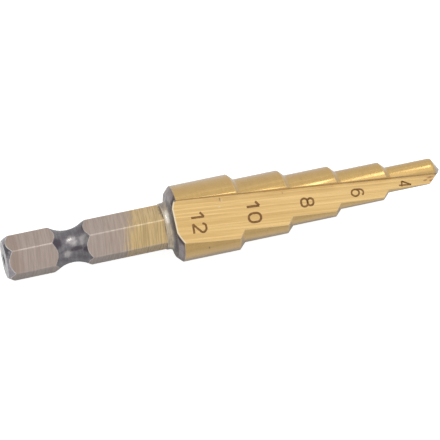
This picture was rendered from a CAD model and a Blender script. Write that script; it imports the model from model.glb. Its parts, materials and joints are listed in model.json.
"""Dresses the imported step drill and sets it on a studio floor.

The frame is loaded first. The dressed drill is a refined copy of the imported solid: its flat faces
are cleaned, its sharp edges are broken, and each surface gets the finish that its making and its
use leave there. The size marks are thin burnt figures on the floor of the upper flute.
"""
import json
import math

import bmesh
import bpy
from mathutils import Euler, Matrix, Vector


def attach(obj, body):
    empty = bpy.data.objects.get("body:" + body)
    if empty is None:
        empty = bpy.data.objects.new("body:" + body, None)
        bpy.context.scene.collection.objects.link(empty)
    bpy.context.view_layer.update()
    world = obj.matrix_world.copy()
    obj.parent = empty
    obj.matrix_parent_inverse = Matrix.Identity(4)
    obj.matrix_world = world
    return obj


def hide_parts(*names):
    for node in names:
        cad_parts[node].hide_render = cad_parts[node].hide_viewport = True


bl_info = {
    "name": "Step Drill",
    "version": (1, 0, 0),
    "blender": (4, 5, 0),
    "location": "View3D > Sidebar > Step Drill",
    "description": "Dresses a coated step drill and sets up its studio",
    "category": "Object",
}

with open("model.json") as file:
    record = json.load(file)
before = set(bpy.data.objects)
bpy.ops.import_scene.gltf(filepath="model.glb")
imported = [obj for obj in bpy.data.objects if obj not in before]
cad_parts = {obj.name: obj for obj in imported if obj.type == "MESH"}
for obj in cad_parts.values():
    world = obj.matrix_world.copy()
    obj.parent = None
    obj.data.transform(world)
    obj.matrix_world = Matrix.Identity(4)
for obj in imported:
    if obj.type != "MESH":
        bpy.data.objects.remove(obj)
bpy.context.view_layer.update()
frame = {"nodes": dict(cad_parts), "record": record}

MM = 0.001
NODE = "step_drill"
BODY = "root"
mounts = {mount["name"]: mount for mount in frame["record"]["mounts"]}
tool_origin = Vector(mounts["hex_shank"]["pos_m"])

# Limits for the mesh work, in metres and radians
weld_distance = 2e-7
sliver_distance = 1e-7
flat_angle = math.radians(0.3)
broken_angle = math.radians(12)
crease_angle = math.radians(50)
least_rise = 0.5        # of the normal of a face that counts as facing up


def clean_copy():
    """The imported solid's mesh as a bmesh, its triangles merged into faces."""
    mesh = bmesh.new()
    mesh.from_mesh(frame["nodes"][NODE].data)
    bmesh.ops.remove_doubles(mesh, verts=mesh.verts, dist=weld_distance)
    bmesh.ops.dissolve_limit(
        mesh, angle_limit=flat_angle, verts=mesh.verts, edges=mesh.edges, delimit=set()
    )
    mesh.normal_update()
    return mesh


def find_upper_floor():
    """A point on the floor of the flute that faces up, and its normal."""
    mesh = clean_copy()
    facing_up = [face for face in mesh.faces if face.normal.z > least_rise]
    floor = max(facing_up, key=lambda face: face.calc_area())
    found = floor.calc_center_median(), floor.normal.copy()
    mesh.free()
    return found


# The drill's own sizes in millimetres, distances taken from the shank's end
hex_apothem = 3.175
hex_length = 25.2
groove_start = 6.0
groove_end = 15.0
rear_face = 26.55
rear_rim = 27.4
rear_face_radius = 5.15
end_face_radius = 2.9

# The flutes: distance of floor and wall from the axis, and how each leans
upper_floor = find_upper_floor()
flute_roll = math.atan2(upper_floor[1].y, upper_floor[1].z)
floor_at_rear = 4.81
wall_at_rear = 3.2
floor_slope = math.radians(6.1)
wall_slope = math.radians(-5.1)
flute_shift = 20.0      # sets the two flutes apart along x, so that their patterns differ


# Settings that a user would change

def colour(name, description, default):
    """A linear colour with no alpha."""
    return bpy.props.FloatVectorProperty(
        name=name, description=description, default=default,
        subtype="COLOR", min=0.0, max=1.0, size=3,
    )


def length(name, description, default_mm):
    """A small length, given in millimetres and kept in metres."""
    return bpy.props.FloatProperty(
        name=name, description=description, default=default_mm * MM, unit="LENGTH", precision=5
    )


class StepDrillSizes(bpy.types.PropertyGroup):
    """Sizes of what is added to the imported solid."""

    edge_break: length("Edge break", "Width of the broken edges", 0.07)
    mark_width: length("Mark width", "Width of the strokes of the size marks", 0.34)
    mark_depth: length("Mark depth", "Thickness of the burnt skin of a size mark", 0.02)
    tint_start: length("Tint start", "Where the gold tint begins, from the shank's end", 19.3)


class StepDrillColours(bpy.types.PropertyGroup):
    """Colours of the surfaces. A dark one is for the low places of the surface of its name."""

    flute: colour("Flute", "Gold coating on the ground flutes", (0.98, 0.67, 0.27))
    flute_dark: colour("Flute, dark", "Coating in the grinding lines", (0.76, 0.47, 0.15))
    land: colour("Land", "Gold coating on the turned lands", (0.90, 0.57, 0.15))
    land_dark: colour("Land, dark", "Coating in the turning rings", (0.72, 0.42, 0.08))
    rubbed_coating: colour("Rubbed coating", "Coating on the broken edges", (0.98, 0.76, 0.40))
    shank: colour("Shank", "Ground flats of the shank", (0.62, 0.50, 0.435))
    shank_dark: colour("Shank, dark", "Grinding lines of the shank", (0.49, 0.38, 0.325))
    tint: colour("Tint", "Gold drift on the shank", (0.93, 0.67, 0.31))
    tint_dark: colour("Tint, dark", "Gold drift in the grinding lines", (0.62, 0.43, 0.19))
    end_face: colour("End face", "End face of the shank", (0.98, 0.97, 1.0))
    end_face_dark: colour("End face, dark", "Scored rings of the end", (0.14, 0.14, 0.17))
    chamfer: colour("Chamfer", "Chamfers of the hexagon", (0.66, 0.6, 0.64))
    chamfer_dark: colour("Chamfer, dark", "Turning rings of the chamfers", (0.5, 0.46, 0.5))
    groove: colour("Groove", "Floor of the detent groove", (0.30, 0.285, 0.30))
    groove_dark: colour("Groove, dark", "Turning rings of the groove", (0.16, 0.145, 0.165))
    neck: colour("Neck", "Polished neck", (0.82, 0.69, 0.5))
    neck_dark: colour("Neck, dark", "Turning rings of the neck", (0.52, 0.42, 0.29))
    collar: colour("Collar", "Rear face of the body and its chamfer", (0.52, 0.46, 0.46))
    collar_dark: colour("Collar, dark", "Turning rings of the collar", (0.33, 0.28, 0.29))
    mark: colour("Size mark", "Burnt size marks", (0.2, 0.1, 0.036))
    mark_dark: colour("Size mark, dark", "Deepest burn of a size mark", (0.11, 0.055, 0.0198))
    floor: colour("Floor", "Studio floor", (0.45, 0.45, 0.45))


def sizes():
    """The sizes that are set in the scene."""
    return bpy.context.scene.step_drill_sizes


def colours():
    """The colours that are set in the scene."""
    return bpy.context.scene.step_drill_colours


# Linear colours of dirt, heat and rubbing
end_rust = (0.36, 0.24, 0.17)
shank_soot = (0.13, 0.10, 0.08)
rubbed_shank = (0.96, 0.89, 0.80)
end_soot = (0.045, 0.04, 0.045)
rubbed_end = (1.0, 0.98, 1.0)
hole_black = (0.012, 0.011, 0.012)
collar_dirt = (0.17, 0.11, 0.09)
collar_burn = (0.055, 0.035, 0.03)
collar_rust = (0.26, 0.14, 0.10)
rubbed_collar = (0.8, 0.72, 0.62)
groove_shine = (0.86, 0.80, 0.76)
groove_burn = (0.05, 0.035, 0.05)
groove_grease = (0.075, 0.055, 0.075)
rubbed_groove = (0.75, 0.72, 0.7)
neck_dirt = (0.22, 0.17, 0.15)
neck_shine = (1.0, 0.94, 0.84)
neck_heat = (0.17, 0.16, 0.19)
rubbed_neck = (0.84, 0.76, 0.64)
land_speck = (0.2, 0.09, 0.035)
point_steel = (0.26, 0.21, 0.18)
flute_scuff = (0.95, 0.82, 0.6)
flute_nick = (0.22, 0.1, 0.04)
flute_rust = (0.3, 0.1, 0.04)
corner_brown = (0.34, 0.16, 0.05)
rear_edge_cream = (1.0, 0.9, 0.68)


# Node helpers

def join(tree, socket, value):
    """Links a socket to another, or sets its value."""
    if isinstance(value, bpy.types.NodeSocket):
        tree.links.new(value, socket)
    else:
        socket.default_value = value


def put(tree, kind, settings=None, **inputs):
    """Adds a node, sets its options, and sets or links the inputs that are named."""
    made = tree.nodes.new(kind)
    for name, value in (settings or {}).items():
        setattr(made, name, value)
    for name, value in inputs.items():
        join(tree, made.inputs[name.replace("_", " ")], value)
    return made


def noise(tree, place, **inputs):
    """A noise texture's value at a place."""
    return put(tree, "ShaderNodeTexNoise", Vector=place, **inputs).outputs[0]


def split(tree, vector):
    """The three parts of a vector."""
    return put(tree, "ShaderNodeSeparateXYZ", Vector=vector).outputs


def vector_result(tree, operation, output, *values):
    """A Vector Math node's result."""
    made = put(tree, "ShaderNodeVectorMath", {"operation": operation})
    for socket, value in zip(made.inputs, values):
        join(tree, socket, value)
    return made.outputs[output]


def calculate(tree, operation, *values, clamp=False):
    """A Math node's result."""
    made = put(tree, "ShaderNodeMath", {"operation": operation, "use_clamp": clamp})
    for socket, value in zip(made.inputs, values):
        join(tree, socket, value)
    return made.outputs[0]


def ramp(tree, value, start, end, low=0.0, high=1.0):
    """Smooth step of a value from low at start to high at end."""
    made = put(
        tree, "ShaderNodeMapRange", {"interpolation_type": "SMOOTHSTEP"},
        Value=value, From_Min=start, From_Max=end, To_Min=low, To_Max=high,
    )
    return made.outputs["Result"]


def mixed(tree, factor, first, second):
    """Mix of two colours."""
    made = put(tree, "ShaderNodeMix", {"data_type": "RGBA"})
    sockets = made.inputs[0], made.inputs[6], made.inputs[7]
    for socket, value in zip(sockets, (factor, first, second)):
        join(tree, socket, value)
    return made.outputs[2]


def opaque(value):
    """A colour with its alpha."""
    return (*value, 1.0)


def group(name, inputs, outputs):
    """An empty shader group with named sockets, and its two end nodes."""
    tree = bpy.data.node_groups.new(name, "ShaderNodeTree")
    for direction, sockets in (("INPUT", inputs), ("OUTPUT", outputs)):
        for label, kind, *default in sockets:
            socket = tree.interface.new_socket(label, in_out=direction, socket_type=kind)
            if default:
                socket.default_value = default[0]
    return tree, tree.nodes.new("NodeGroupInput").outputs, tree.nodes.new("NodeGroupOutput").inputs


def use(tree, name, **inputs):
    """Places a shared group in a tree."""
    made = put(tree, "ShaderNodeGroup", {"node_tree": bpy.data.node_groups[name]}, **inputs)
    return made.outputs


# Shared effects

def make_tool_position():
    """Position in millimetres: x from the shank's end, z square to the flute floors.

    Folded is the same place with the lower flute turned onto the upper one.
    """
    vector, value = "NodeSocketVector", "NodeSocketFloat"
    tree, _, end = group(
        "Tool Position", [],
        [
            ("Position", vector), ("Folded", vector),
            ("Along", value), ("Side", value), ("Height", value), ("Radius", value),
        ],
    )
    origin = Matrix.Rotation(flute_roll, 3, "X") @ -tool_origin / MM
    turned = put(
        tree, "ShaderNodeMapping", {"vector_type": "POINT"},
        Vector=put(tree, "ShaderNodeTexCoord").outputs["Object"],
        Location=origin, Rotation=(flute_roll, 0.0, 0.0), Scale=(1 / MM,) * 3,
    ).outputs["Vector"]
    along, side, up = split(tree, turned)
    upper = calculate(tree, "SIGN", up)
    height = calculate(tree, "ABSOLUTE", up)
    shifted = calculate(tree, "MULTIPLY_ADD", upper, flute_shift, along)
    across = calculate(tree, "MULTIPLY", side, upper)
    folded = put(tree, "ShaderNodeCombineXYZ", X=shifted, Y=across, Z=height).outputs[0]
    from_axis = put(tree, "ShaderNodeCombineXYZ", Y=side, Z=up).outputs[0]
    join(tree, end["Position"], turned)
    join(tree, end["Folded"], folded)
    join(tree, end["Along"], along)
    join(tree, end["Side"], side)
    join(tree, end["Height"], height)
    join(tree, end["Radius"], vector_result(tree, "LENGTH", "Value", from_axis))


def make_streaks():
    """Grinding lines: noise drawn out to a given size, in millimetres, along a turned axis."""
    tree, start, end = group(
        "Streaks",
        [
            ("Position", "NodeSocketVector"),
            ("Turn", "NodeSocketVector"),
            ("Size", "NodeSocketVector", (1.0, 1.0, 1.0)),
            ("Contrast", "NodeSocketFloat", 1.0),
        ],
        [("Streaks", "NodeSocketFloat")],
    )
    drawn = put(
        tree, "ShaderNodeMapping", {"vector_type": "TEXTURE"},
        Vector=start["Position"], Rotation=start["Turn"], Scale=start["Size"],
    ).outputs["Vector"]
    broad = noise(tree, drawn, Scale=0.45, Detail=2.0, Roughness=0.5)
    fine = noise(tree, drawn, Scale=1.6, Detail=3.0, Roughness=0.6)
    centred = calculate(tree, "SUBTRACT", calculate(tree, "ADD", broad, fine), 1.0)
    scaled = calculate(tree, "MULTIPLY", centred, start["Contrast"])
    join(tree, end["Streaks"], calculate(tree, "ADD", scaled, 0.5, clamp=True))


def make_smudges():
    """Soft blotches of a given size in millimetres."""
    tree, start, end = group(
        "Smudges",
        [
            ("Position", "NodeSocketVector"),
            ("Size", "NodeSocketVector", (1.0, 1.0, 1.0)),
            ("Threshold", "NodeSocketFloat", 0.5),
            ("Softness", "NodeSocketFloat", 0.1),
        ],
        [("Smudges", "NodeSocketFloat")],
    )
    drawn = put(
        tree, "ShaderNodeMapping", {"vector_type": "TEXTURE"},
        Vector=start["Position"], Scale=start["Size"],
    ).outputs["Vector"]
    blotches = noise(tree, drawn, Scale=1.0, Detail=3.0, Roughness=0.55, Distortion=0.6)
    low = calculate(tree, "SUBTRACT", start["Threshold"], start["Softness"])
    high = calculate(tree, "ADD", start["Threshold"], start["Softness"])
    join(tree, end["Smudges"], ramp(tree, blotches, low, high))


def make_spot():
    """One ragged spot, its place and half size in millimetres."""
    tree, start, end = group(
        "Spot",
        [
            ("Position", "NodeSocketVector"),
            ("Place", "NodeSocketVector"),
            ("Half Size", "NodeSocketVector", (1.0, 1.0, 1.0)),
            ("Raggedness", "NodeSocketFloat", 1.1),
        ],
        [("Spot", "NodeSocketFloat")],
    )
    offset = vector_result(tree, "SUBTRACT", "Vector", start["Position"], start["Place"])
    scaled = vector_result(tree, "DIVIDE", "Vector", offset, start["Half Size"])
    distance = vector_result(tree, "LENGTH", "Value", scaled)
    uneven = noise(tree, start["Position"], Scale=2.2, Detail=4.0)
    reach = calculate(tree, "MULTIPLY_ADD", uneven, start["Raggedness"], distance)
    outside = 1.7
    inside = 0.95
    join(tree, end["Spot"], ramp(tree, reach, outside, inside))


def make_worn_edges():
    """Broken edges where the finish has rubbed thin."""
    tree, start, end = group(
        "Worn Edges",
        [("Position", "NodeSocketVector"), ("Amount", "NodeSocketFloat", 0.5)],
        [("Worn", "NodeSocketFloat")],
    )
    broken = put(tree, "ShaderNodeAttribute", {"attribute_name": "edge_break"}).outputs["Fac"]
    uneven = noise(tree, start["Position"], Scale=1.3, Detail=2.0)
    patchy = ramp(tree, uneven, 0.3, 0.65, low=0.35)
    worn = calculate(tree, "MULTIPLY", broken, patchy)
    join(tree, end["Worn"], calculate(tree, "MULTIPLY", worn, start["Amount"]))


def make_groups():
    """Builds every shared group once."""
    for make in (make_tool_position, make_streaks, make_smudges, make_spot, make_worn_edges):
        make()


# Patterns, masks and layers of a finish

def streaks(tree, place, size, contrast, turn=(0.0, 0.0, 0.0)):
    """Grinding or turning lines of a given size in millimetres."""
    made = use(tree, "Streaks", Position=place, Turn=turn, Size=size, Contrast=contrast)
    return made["Streaks"]


def smudges(tree, place, size, threshold, softness):
    """Mask of soft blotches of a given size in millimetres."""
    made = use(tree, "Smudges", Position=place, Size=size, Threshold=threshold, Softness=softness)
    return made["Smudges"]


def worn_edges(tree, place, amount):
    """Mask of the rubbed edges."""
    return use(tree, "Worn Edges", Position=place, Amount=amount)["Worn"]


def spots(tree, place, *places_and_sizes):
    """Mask of several ragged spots."""
    together = None
    for middle, half_size in places_and_sizes:
        spot = use(tree, "Spot", Position=place, Place=middle, Half_Size=half_size)["Spot"]
        together = calculate(tree, "MAXIMUM", together, spot) if together else spot
    return together


def facing(middle, half_size):
    """A spot, and the same spot half a turn round the axis."""
    along, side, up = middle
    return (middle, half_size), ((along, -side, -up), half_size)


def on_upper_flute(along, side, up):
    """Where a place on the upper flute stands in the folded position."""
    return flute_shift + along, side, up


def faded(tree, mask, share):
    """A mask at part of its strength."""
    return calculate(tree, "MULTIPLY", mask, share)


def blend(tree, first, share, second):
    """Weighted sum of two masks, the second with what is left of the share."""
    return calculate(tree, "MULTIPLY_ADD", first, share, faded(tree, second, 1.0 - share))


def two_toned(tree, pattern, name):
    """A surface's dark and light colours, mixed by a pattern."""
    dark = getattr(colours(), name + "_dark")
    light = getattr(colours(), name)
    return mixed(tree, pattern, opaque(dark), opaque(light))


def laid_on(tree, under, mask, share, over):
    """A colour laid over another where a mask is, at part of its strength."""
    return mixed(tree, faded(tree, mask, share), under, opaque(over))


def rubbed(tree, place, under, amount, over):
    """A colour with its broken edges rubbed to another."""
    return mixed(tree, worn_edges(tree, place, amount), under, opaque(over))


def metal(name, coat_roughness=0.22, coat_ior=1.6):
    """A metal with no pattern yet: its tree, its shader and the tool's position."""
    material = bpy.data.materials.new(name)
    material.use_nodes = True
    tree = material.node_tree
    shader = tree.nodes["Principled BSDF"]
    shader.inputs["Metallic"].default_value = 1.0
    shader.inputs["Coat Weight"].default_value = 1.0
    shader.inputs["Coat Roughness"].default_value = coat_roughness
    shader.inputs["Coat IOR"].default_value = coat_ior
    return material, tree, shader, use(tree, "Tool Position")


def paint(tree, shader, painted, pattern, low_roughness, high_roughness):
    """Colours a shader, and runs its roughness from low to high places of a pattern."""
    join(tree, shader.inputs["Base Color"], painted)
    roughness = ramp(tree, pattern, 0.0, 1.0, low_roughness, high_roughness)
    join(tree, shader.inputs["Roughness"], roughness)


def bump(tree, shader, height, depth_mm):
    """Relief of a given depth."""
    made = put(tree, "ShaderNodeBump", Height=height, Distance=depth_mm * MM, Strength=1.0)
    join(tree, shader.inputs["Normal"], made.outputs["Normal"])


# Finishes, all their places and sizes in millimetres

def tint_mask(tree, tool, lines):
    """How far the gold has drifted along the shank, with a ragged front and a paler upper side."""
    start = sizes().tint_start / MM
    wander = smudges(tree, tool["Position"], (0.7, 1.6, 1.6), threshold=0.5, softness=0.25)
    ragged = calculate(tree, "MULTIPLY_ADD", lines, 0.8, faded(tree, wander, 0.8))
    slanted = calculate(tree, "MULTIPLY_ADD", tool["Side"], -0.25, tool["Along"])
    front = calculate(tree, "ADD", ragged, slanted)
    tint = ramp(tree, front, start + 0.1, start + 2.0, high=0.9)
    paler = ramp(tree, tool["Side"], 0.5, 2.5, low=1.0, high=0.85)
    drift = ramp(tree, tool["Along"], start - 5.0, start, high=0.1)
    return calculate(tree, "MULTIPLY_ADD", tint, paler, drift)


def ground_shank():
    """Hexagon flats, ground across, with the coating's gold drift towards the body."""
    material, tree, shader, tool = metal("Ground shank")
    place = tool["Position"]
    lines_turn = (0.0, 0.0, math.radians(-6.0))
    lines = streaks(tree, place, (0.11, 3.0, 3.0), contrast=3.4, turn=lines_turn)
    bands = streaks(tree, place, (1.1, 9.0, 9.0), contrast=1.2)
    pattern = blend(tree, lines, 0.8, bands)
    steel = two_toned(tree, pattern, "shank")
    gold = two_toned(tree, pattern, "tint")
    tinted = mixed(tree, tint_mask(tree, tool, lines), steel, gold)
    by_end = ramp(tree, tool["Along"], 3.6, 1.0)
    rusted = laid_on(tree, tinted, by_end, 0.35, end_rust)
    by_neck = spots(tree, place, *facing((25.2, 2.5, 2.5), (0.5, 1.5, 1.5)))
    shaded = laid_on(tree, rusted, by_neck, 0.6, shank_soot)
    paint(tree, shader, rubbed(tree, place, shaded, 0.7, rubbed_shank), pattern, 0.4, 0.3)
    bump(tree, shader, pattern, depth_mm=0.006)
    return material


def turned_end():
    """Turned end of the shank: a bright worn rim, dull chamfers and a black centre hole."""
    material, tree, shader, tool = metal("Turned end")
    place = tool["Position"]
    rings = streaks(tree, place, (0.12, 2.0, 2.0), contrast=1.6)
    smudge = smudges(tree, place, (1.2, 1.2, 1.2), threshold=0.5, softness=0.12)
    ring_spacing = 0.55
    scored = calculate(tree, "PINGPONG", tool["Radius"], ring_spacing)
    face = two_toned(tree, ramp(tree, scored, 0.05, 0.35, low=0.55), "end_face")
    faced = ramp(tree, tool["Radius"], end_face_radius + 0.02, end_face_radius - 0.02)
    steel = mixed(tree, faced, two_toned(tree, rings, "chamfer"), face)
    black = spots(tree, place, *facing((0.5, 1.7, 2.9), (0.8, 2.2, 1.3)))
    soot = calculate(tree, "MAXIMUM", faded(tree, smudge, 0.3), faded(tree, black, 0.85))
    dirty = laid_on(tree, steel, soot, 1.0, end_soot)
    hole = ramp(tree, tool["Radius"], 1.0, 0.8)
    holed = laid_on(tree, rubbed(tree, place, dirty, 0.95, rubbed_end), hole, 1.0, hole_black)
    paint(tree, shader, holed, smudge, 0.28, 0.45)
    join(tree, shader.inputs["Coat Weight"], ramp(tree, hole, 0.0, 1.0, low=1.0, high=0.0))
    bump(tree, shader, rings, depth_mm=0.004)
    return material


def turned_collar():
    """Rear face and its chamfer: dull turned steel, browned beside the flutes."""
    material, tree, shader, tool = metal("Turned collar")
    place = tool["Position"]
    rings = streaks(tree, place, (0.12, 3.0, 3.0), contrast=1.5)
    smudge = smudges(tree, place, (1.0, 1.3, 1.3), threshold=0.5, softness=0.15)
    dirty = laid_on(tree, two_toned(tree, rings, "collar"), smudge, 0.4, collar_dirt)
    by_flute = ramp(tree, tool["Height"], 4.0, 4.6)
    browned = laid_on(tree, dirty, by_flute, 0.9, collar_burn)
    rim = ramp(tree, tool["Along"], rear_rim - 0.45, rear_rim)
    reddened = laid_on(tree, browned, rim, 0.5, collar_rust)
    paint(tree, shader, rubbed(tree, place, reddened, 0.6, rubbed_collar), smudge, 0.3, 0.45)
    bump(tree, shader, rings, depth_mm=0.004)
    return material


def detent_groove():
    """Groove floor: dark and smooth, with old grease and places rubbed bright."""
    material, tree, shader, tool = metal("Detent groove", coat_roughness=0.32)
    place = tool["Position"]
    grease = smudges(tree, place, (1.8, 1.3, 1.3), threshold=0.53, softness=0.14)
    rings = streaks(tree, place, (0.22, 6.0, 6.0), contrast=1.4)
    shiny = spots(
        tree, place,
        ((10.6, 0.4, 2.5), (1.0, 1.0, 1.5)),
        ((12.4, 0.3, 3.0), (0.9, 1.2, 1.5)),
        ((9.6, -1.4, 2.1), (0.7, 0.7, 1.2)),
        ((9.6, -0.4, -2.5), (0.9, 1.3, 1.5)),
    )
    burnt = spots(
        tree, place,
        ((8.2, 0.5, 3.0), (1.0, 1.0, 1.3)),
        ((11.2, -0.8, 2.4), (1.2, 0.45, 1.0)),
        ((12.7, -1.2, 2.7), (0.8, 0.6, 1.0)),
        ((12.9, 2.0, 2.2), (0.6, 1.2, 1.2)),
        ((11.4, 0.8, -2.4), (0.9, 0.8, 1.0)),
    )
    bright = laid_on(tree, two_toned(tree, rings, "groove"), shiny, 0.45, groove_shine)
    darker = laid_on(tree, bright, burnt, 0.88, groove_burn)
    greasy = laid_on(tree, darker, grease, 0.5, groove_grease)
    paint(tree, shader, rubbed(tree, place, greasy, 0.5, rubbed_groove), grease, 0.24, 0.38)
    bump(tree, shader, rings, depth_mm=0.004)
    return material


def polished_neck():
    """Neck and its flare: turned bright with a thin gold drift, blackened beside the body."""
    material, tree, shader, tool = metal("Polished neck")
    place = tool["Position"]
    rings = streaks(tree, place, (0.12, 4.0, 4.0), contrast=1.5)
    smudge = smudges(tree, place, (0.8, 1.6, 1.6), threshold=0.55, softness=0.12)
    dirty = laid_on(tree, two_toned(tree, rings, "neck"), smudge, 0.4, neck_dirt)
    shiny = spots(tree, place, *facing((25.75, 1.2, 3.6), (0.35, 1.5, 1.0)))
    brightened = laid_on(tree, dirty, shiny, 0.8, neck_shine)
    uneven = calculate(tree, "MULTIPLY_ADD", smudge, 0.12, tool["Along"])
    heated = ramp(tree, uneven, 26.05, 26.35)
    shaded = spots(tree, place, *facing((25.5, 3.4, 1.5), (0.7, 1.5, 1.5)))
    marked = calculate(tree, "MAXIMUM", heated, faded(tree, shaded, 0.65))
    blackened = laid_on(tree, brightened, marked, 0.85, neck_heat)
    paint(tree, shader, rubbed(tree, place, blackened, 0.5, rubbed_neck), rings, 0.26, 0.18)
    bump(tree, shader, rings, depth_mm=0.003)
    return material


def coated_land():
    """Lands and shoulders: coated, with fine turned rings and faint lengthwise bands."""
    material, tree, shader, tool = metal("Coated land", coat_roughness=0.18, coat_ior=2.0)
    shader.inputs["Sheen Weight"].default_value = 0.6
    shader.inputs["Sheen Roughness"].default_value = 0.32
    shader.inputs["Sheen Tint"].default_value = (1.0, 0.94, 0.92, 1.0)
    place = tool["Position"]
    rings = streaks(tree, place, (0.16, 4.0, 4.0), contrast=1.4)
    bands = streaks(tree, place, (30.0, 0.5, 0.5), contrast=1.8)
    cloud = smudges(tree, place, (1.6, 1.1, 1.1), threshold=0.5, softness=0.22)
    pattern = blend(tree, rings, 0.4, blend(tree, bands, 0.6, cloud))
    brown = spots(
        tree, place,
        ((31.2, -5.0, 3.3), (0.16, 0.16, 0.4)),
        ((47.6, 2.5, 2.7), (0.3, 0.3, 0.4)),
        ((55.3, 3.2, 2.2), (0.25, 0.3, 0.4)),
    )
    specked = laid_on(tree, two_toned(tree, pattern, "land"), brown, 0.8, land_speck)
    edged = rubbed(tree, place, specked, 0.45, colours().rubbed_coating)
    uneven = calculate(tree, "MULTIPLY_ADD", cloud, 0.35, tool["Along"])
    bare_point = ramp(tree, uneven, 68.95, 69.4)
    paint(tree, shader, laid_on(tree, edged, bare_point, 0.8, point_steel), pattern, 0.24, 0.16)
    bump(tree, shader, rings, depth_mm=0.0003)
    return material


def flute_corner(tree, tool):
    """Mask of the narrow corner between a flute's floor and its wall."""
    across = split(tree, tool["Folded"])["Y"]
    forward = calculate(tree, "SUBTRACT", tool["Along"], rear_face)
    wall = calculate(tree, "MULTIPLY_ADD", forward, math.tan(wall_slope), wall_at_rear)
    floor = calculate(tree, "MULTIPLY_ADD", forward, -math.tan(floor_slope), floor_at_rear)
    beside = ramp(tree, calculate(tree, "SUBTRACT", across, wall), -0.24, -0.08)
    low = ramp(tree, calculate(tree, "SUBTRACT", tool["Height"], floor), 0.4, 0.2)
    return calculate(tree, "MULTIPLY", beside, low)


def rear_edge(tree, tool):
    """Mask of the strip of a flute's floor along its rear edge."""
    from_face = calculate(tree, "SUBTRACT", tool["Along"], rear_face)
    slant = calculate(tree, "SUBTRACT", tool["Along"], tool["Radius"])
    from_chamfer = calculate(tree, "SUBTRACT", slant, rear_face - rear_face_radius)
    return ramp(tree, calculate(tree, "MINIMUM", from_face, from_chamfer), 0.34, 0.16)


def coated_flute():
    """Flute floors and cutting walls: coated, ground lengthwise along the wall."""
    material, tree, shader, tool = metal("Coated flute")
    place = tool["Folded"]
    turn = (0.0, floor_slope, wall_slope)
    grain = streaks(tree, place, (24.0, 0.17, 0.17), contrast=2.9, turn=turn)
    hair = streaks(tree, place, (7.0, 0.13, 0.13), contrast=3.0, turn=turn)
    pattern = blend(tree, grain, 0.6, hair)
    pale = spots(
        tree, place,
        (on_upper_flute(33.97, 0.83, 4.0), (0.28, 0.2, 1.5)),
        (on_upper_flute(34.5, 1.83, 4.0), (0.25, 0.2, 1.5)),
    )
    nicks = spots(
        tree, place,
        (on_upper_flute(34.3, 1.97, 4.0), (0.15, 0.45, 1.5)),
        (on_upper_flute(44.3, 1.08, 3.0), (0.09, 0.22, 1.5)),
        (on_upper_flute(49.7, 1.13, 2.4), (0.3, 0.16, 1.5)),
    )
    rust = spots(
        tree, place,
        (on_upper_flute(67.3, -1.3, 0.4), (0.4, 0.16, 1.0)),
        (on_upper_flute(68.2, -1.0, 0.4), (0.6, 0.18, 1.0)),
        (on_upper_flute(68.3, -1.5, 0.4), (0.45, 0.2, 1.0)),
    )
    painted = two_toned(tree, pattern, "flute")
    for mask, share, over in (
        (pale, 0.3, flute_scuff),
        (nicks, 0.55, flute_nick),
        (rust, 0.7, flute_rust),
        (flute_corner(tree, tool), 0.75, corner_brown),
        (rear_edge(tree, tool), 0.8, rear_edge_cream),
    ):
        painted = laid_on(tree, painted, mask, share, over)
    edged = rubbed(tree, place, painted, 0.45, colours().rubbed_coating)
    paint(tree, shader, edged, pattern, 0.36, 0.26)
    bump(tree, shader, pattern, depth_mm=0.006)
    return material


def burnt_mark():
    """Size marks burnt into the coating: matt, and darker in places."""
    material, tree, shader, tool = metal("Burnt mark")
    shader.inputs["Metallic"].default_value = 0.0
    shader.inputs["Coat Weight"].default_value = 0.0
    shader.inputs["Specular IOR Level"].default_value = 0.2
    cloud = smudges(tree, tool["Position"], (0.3, 0.3, 0.3), threshold=0.5, softness=0.2)
    paint(tree, shader, two_toned(tree, cloud, "mark"), cloud, 0.7, 0.5)
    return material


# The drill

finishes = (
    ground_shank, turned_end, detent_groove, polished_neck, turned_collar, coated_land, coated_flute,
)
SHANK, END, GROOVE, NECK, COLLAR, LAND, FLUTE = range(len(finishes))
tolerance = 0.03        # in millimetres
parallel = 0.9995       # cosine of the angle at which two faces count as parallel
lengthwise = 0.01       # most that the normal of a face along the axis may lean to it
corner_rise = 0.05      # how far the hexagon's rounded corners stand out past its flats, at least
corner_wear = 0.3       # their wear, 1 being a broken edge's


def flute_normals(mesh):
    """Normals of the flutes' floors and walls: the four largest flat faces of the body."""
    body_start = tool_origin.x + rear_rim * MM
    body = [face for face in mesh.faces if face.calc_center_median().x > body_start]
    body.sort(key=lambda face: -face.calc_area())
    return [face.normal.copy() for face in body[:4]]


def finish_of(face, planes):
    """Which finish a face of the clean solid gets."""
    centre = (face.calc_center_median() - tool_origin) / MM
    normal = face.normal
    in_flute = max(normal.dot(plane) for plane in planes) > parallel
    if in_flute and centre.x > rear_face + tolerance:
        return FLUTE
    if centre.x > rear_rim - tolerance:
        return LAND
    if centre.x > rear_face - tolerance:
        return COLLAR
    if centre.x > hex_length + tolerance:
        return NECK
    on_flat = abs(normal.x) < lengthwise and normal.dot(centre) > hex_apothem - tolerance
    if on_flat and centre.x < hex_length:
        return SHANK
    if groove_start < centre.x < groove_end:
        return GROOVE
    return END


def is_sharp(edge):
    """Whether an edge stands out and is sharp enough to be broken."""
    return edge.is_manifold and edge.is_convex and edge.calc_face_angle() > broken_angle


def break_edges(mesh, width):
    """Bevels the outward edges and notes the new faces in an attribute."""
    worn = mesh.faces.layers.float.new("edge_break")
    made = bmesh.ops.bevel(
        mesh, geom=[edge for edge in mesh.edges if is_sharp(edge)],
        offset=width, offset_type="OFFSET", affect="EDGES",
        segments=2, profile=0.5, clamp_overlap=False, loop_slide=True, material=-1,
    )
    for face in made["faces"]:
        face[worn] = 1.0
    bmesh.ops.dissolve_degenerate(mesh, dist=sliver_distance, edges=mesh.edges)


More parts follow.
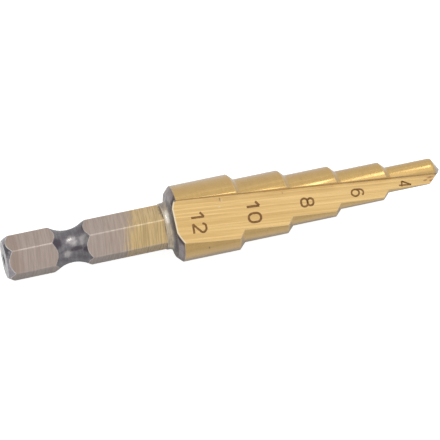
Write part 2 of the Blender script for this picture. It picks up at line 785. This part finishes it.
def rub_corners(mesh):
    """Notes the hexagon's rounded corners as worn."""
    worn = mesh.faces.layers.float["edge_break"]
    for face in mesh.faces:
        reach = face.normal.dot(face.calc_center_median() - tool_origin) / MM
        if face.material_index == SHANK and reach > hex_apothem + corner_rise:
            face[worn] = corner_wear


def shade(mesh):
    """Shades a mesh smooth, apart from its creases."""
    for face in mesh.faces:
        face.smooth = True
    for edge in mesh.edges:
        edge.smooth = not (edge.is_manifold and edge.calc_face_angle() > crease_angle)


def finished_piece(name, mesh):
    """Makes a bmesh a piece of the scene, and frees it."""
    data = bpy.data.meshes.new(name)
    mesh.to_mesh(data)
    mesh.free()
    piece = bpy.data.objects.new(name, data)
    bpy.context.scene.collection.objects.link(piece)
    return piece


class STEPDRILL_OT_drill(bpy.types.Operator):
    """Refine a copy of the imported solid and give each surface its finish"""

    bl_idname = "stepdrill.drill"
    bl_label = "Dress the drill"

    def execute(self, context):
        mesh = clean_copy()
        planes = flute_normals(mesh)
        for face in mesh.faces:
            face.material_index = finish_of(face, planes)
        break_edges(mesh, sizes().edge_break)
        rub_corners(mesh)
        shade(mesh)
        piece = finished_piece("coated_drill", mesh)
        for finish in finishes:
            piece.data.materials.append(finish())
        weighted = piece.modifiers.new("Weighted normals", "WEIGHTED_NORMAL")
        weighted.keep_sharp = True
        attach(piece, BODY)
        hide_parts(NODE)
        return {"FINISHED"}


# The size marks

# Figures as pen strokes in millimetres: to the right of the figure's left foot and up from it.
# A stroke that ends where it starts is a closed loop.
figures = {
    "0": (
        [
            (0.69, 0.0), (1.2, 0.22), (1.38, 0.98), (1.2, 1.74), (0.69, 1.96), (0.18, 1.74),
            (0.0, 0.98), (0.18, 0.22), (0.69, 0.0),
        ],
    ),
    "1": (
        [(0.0, 0.0), (0.0, 2.04)],
        [(0.0, 2.04), (-0.72, 1.48)],
    ),
    "2": (
        [(1.46, 0.0), (0.0, 0.0)],
        [(0.0, 0.0), (1.0, 0.91), (1.4, 1.42), (1.16, 1.9), (0.6, 2.04), (0.16, 1.84), (0.04, 1.52)],
    ),
    "4": (
        [(0.7, 1.97), (0.0, 0.5)],
        [(0.0, 0.5), (0.82, 0.46)],
        [(0.7, 1.97), (0.6, 0.0)],
    ),
    "6": (
        [(0.5, 0.0), (0.94, 0.28), (0.98, 0.9), (0.5, 1.22), (0.06, 0.9), (0.06, 0.28), (0.5, 0.0)],
        [(0.0, 0.6), (0.02, 1.2), (0.2, 1.74), (0.6, 1.92), (1.0, 1.72)],
    ),
    "8": (
        [
            (0.68, 0.0), (1.2, 0.18), (1.2, 0.86), (0.68, 1.04), (0.16, 0.86), (0.16, 0.18),
            (0.68, 0.0),
        ],
        [
            (0.68, 1.04), (1.14, 1.2), (1.14, 1.8), (0.68, 1.98), (0.22, 1.8), (0.22, 1.2),
            (0.68, 1.04),
        ],
    ),
}
# Figure, the place of its left foot from the shank's end and across the flute from the axis,
# and the weight of its strokes
marks = [
    ("1", 29.24, -0.03, 1.0),
    ("2", 29.29, -1.03, 1.0),
    ("1", 38.24, -0.03, 1.1),
    ("0", 38.24, -1.12, 1.05),
    ("8", 46.95, -0.36, 0.95),
    ("6", 55.2, -0.57, 0.8),
    ("4", 63.0, -0.72, 0.72),
]
mark_turn = math.radians(-3.5)


def stroke(points, width):
    """A flat stroke of a given width along a smooth line, as a mesh."""
    line = bpy.data.curves.new("stroke", "CURVE")
    line.dimensions = "3D"
    line.resolution_u = 8
    line.bevel_depth = width / 2
    line.bevel_resolution = 3
    line.use_fill_caps = True
    closed = points[0] == points[-1]
    knots = points[:-1] if closed else points
    spline = line.splines.new("BEZIER")
    spline.bezier_points.add(len(knots) - 1)
    spline.use_cyclic_u = closed
    for knot, (right, up) in zip(spline.bezier_points, knots):
        knot.co = (right * MM, up * MM, 0.0)
        knot.handle_left_type = "AUTO"
        knot.handle_right_type = "AUTO"
    holder = bpy.data.objects.new("stroke", line)
    made = bpy.data.meshes.new_from_object(holder)
    made.transform(Matrix.Diagonal((1.0, 1.0, sizes().mark_depth / width, 1.0)))
    bpy.data.objects.remove(holder)
    bpy.data.curves.remove(line)
    return made


def place_of_mark(distance, side):
    """The matrix that lays a figure on the upper flute's floor, its top towards the point."""
    point, normal = upper_floor
    along = (Vector((1, 0, 0)) - normal * normal.x).normalized()
    across = normal.cross(along)
    square = Vector((0, normal.y, normal.z)).normalized()
    foot = tool_origin + Vector((distance * MM, 0, 0)) + across * side * MM
    foot += square * ((point - foot).dot(normal) / square.dot(normal))
    upright = Matrix((-across, along, normal)).transposed().to_4x4()
    return Matrix.Translation(foot) @ upright @ Matrix.Rotation(mark_turn, 4, "Z")


class STEPDRILL_OT_size_marks(bpy.types.Operator):
    """Burn the size of each step into the floor of the upper flute"""

    bl_idname = "stepdrill.size_marks"
    bl_label = "Burn the size marks"

    def execute(self, context):
        mesh = bmesh.new()
        for figure, distance, side, weight in marks:
            for points in figures[figure]:
                made = stroke(points, sizes().mark_width * weight)
                made.transform(place_of_mark(distance, side))
                mesh.from_mesh(made)
                bpy.data.meshes.remove(made)
        bmesh.ops.remove_doubles(mesh, verts=mesh.verts, dist=weld_distance)
        bmesh.ops.recalc_face_normals(mesh, faces=mesh.faces)
        piece = finished_piece("size_marks", mesh)
        piece.data.materials.append(burnt_mark())
        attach(piece, BODY)
        return {"FINISHED"}


# Studio

camera_place = (-0.113228, 0.115107, 0.707539)
camera_turn = (-7.482, -10.616, -10.351)
camera_lens = 379.17
floor_half_side = 1.5
floor_glow = 0.8


def softbox(name, direction, distance, width, height, radiance):
    """A square light that faces the drill. Its power follows from its size and brightness."""
    lamp = bpy.data.lights.new(name, "AREA")
    lamp.shape = "RECTANGLE"
    lamp.size = width
    lamp.size_y = height
    lamp.energy = radiance * math.pi * width * height
    holder = bpy.data.objects.new(name, lamp)
    bpy.context.scene.collection.objects.link(holder)
    aim = Vector(direction).normalized()
    holder.location = aim * distance
    holder.rotation_mode = "QUATERNION"
    holder.rotation_quaternion = aim.to_track_quat("Z", "Y")
    holder.visible_camera = False
    return holder


def light_tent():
    """Even white tent, a little darker behind the shank and on the near side."""
    world = bpy.data.worlds.new("Light tent")
    world.use_nodes = True
    tree = world.node_tree
    direction = split(tree, put(tree, "ShaderNodeTexCoord").outputs["Generated"])
    behind = ramp(tree, direction["X"], -0.5, -0.85, low=0.68, high=0.5)
    near = ramp(tree, direction["Y"], -0.6, -0.95, low=1.0, high=0.78)
    background = tree.nodes["Background"]
    background.inputs["Color"].default_value = (1.0, 1.0, 1.0, 1.0)
    join(tree, background.inputs["Strength"], calculate(tree, "MULTIPLY", behind, near))
    return world


def floor_paint():
    """Matt pale floor. Mirrored in the steel it is a shade darker, as a floor beside a tent is."""
    material = bpy.data.materials.new("Studio floor")
    material.use_nodes = True
    tree = material.node_tree
    shader = tree.nodes["Principled BSDF"]
    shader.inputs["Roughness"].default_value = 0.9
    shader.inputs["Emission Strength"].default_value = floor_glow
    grain = put(tree, "ShaderNodeTexNoise", Scale=40.0, Detail=2.0).outputs[0]
    tone = ramp(tree, grain, 0.0, 1.0, low=0.985)
    toned = put(tree, "ShaderNodeVectorMath", {"operation": "SCALE"}, Scale=tone)
    join(tree, toned.inputs[0], colours().floor)
    join(tree, shader.inputs["Base Color"], toned.outputs[0])
    seen = put(tree, "ShaderNodeLightPath").outputs["Is Camera Ray"]
    join(tree, shader.inputs["Emission Color"], seen)
    return material


def set_camera(scene):
    """Places the camera and makes it the scene's."""
    lens = bpy.data.cameras.new("Camera")
    lens.sensor_width = 36.0
    lens.lens = camera_lens
    camera = bpy.data.objects.new("Camera", lens)
    camera.location = camera_place
    camera.rotation_euler = Euler([math.radians(angle) for angle in camera_turn], "XYZ")
    scene.collection.objects.link(camera)
    scene.camera = camera


class STEPDRILL_OT_stage(bpy.types.Operator):
    """Set the floor, the lights and the camera"""

    bl_idname = "stepdrill.stage"
    bl_label = "Set the studio"

    def execute(self, context):
        mesh = bmesh.new()
        bmesh.ops.create_grid(mesh, x_segments=1, y_segments=1, size=floor_half_side)
        floor = finished_piece("studio_floor", mesh)
        floor.data.materials.append(floor_paint())
        softbox(
            "Ceiling softbox", direction=(0.2, 0.6, 0.75), distance=1.0,
            width=1.1, height=0.9, radiance=0.25,
        )
        softbox(
            "Strip light", direction=(0.156, 0.80, 0.57), distance=1.0,
            width=0.2, height=0.26, radiance=1.9,
        )
        floor_light = softbox(
            "Floor light", direction=(-0.1, 0.9, 0.75), distance=1.0,
            width=0.5, height=0.4, radiance=17.0,
        )
        floor_light.visible_glossy = False
        context.scene.world = light_tent()
        set_camera(context.scene)
        context.scene.view_settings.view_transform = "Standard"
        return {"FINISHED"}


class STEPDRILL_PT_panel(bpy.types.Panel):
    """Step drill in the sidebar"""

    bl_label = "Step Drill"
    bl_idname = "STEPDRILL_PT_panel"
    bl_space_type = "VIEW_3D"
    bl_region_type = "UI"
    bl_category = "Step Drill"

    def draw(self, context):
        for settings in (context.scene.step_drill_sizes, context.scene.step_drill_colours):
            for name in settings.__annotations__:
                self.layout.prop(settings, name)
        for operator in operators:
            self.layout.operator(operator.bl_idname)


operators = (STEPDRILL_OT_drill, STEPDRILL_OT_size_marks, STEPDRILL_OT_stage)
classes = (StepDrillSizes, StepDrillColours, *operators, STEPDRILL_PT_panel)


def register():
    """Adds the settings, the operators and the panel."""
    for part in classes:
        bpy.utils.register_class(part)
    bpy.types.Scene.step_drill_sizes = bpy.props.PointerProperty(type=StepDrillSizes)
    bpy.types.Scene.step_drill_colours = bpy.props.PointerProperty(type=StepDrillColours)


def unregister():
    """Takes them out again."""
    del bpy.types.Scene.step_drill_colours
    del bpy.types.Scene.step_drill_sizes
    for part in reversed(classes):
        bpy.utils.unregister_class(part)


def main():
    """Registers the add-on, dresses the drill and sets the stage."""
    register()
    make_groups()
    bpy.ops.stepdrill.drill()
    bpy.ops.stepdrill.size_marks()
    bpy.ops.stepdrill.stage()


if __name__ == "__main__":
    main()
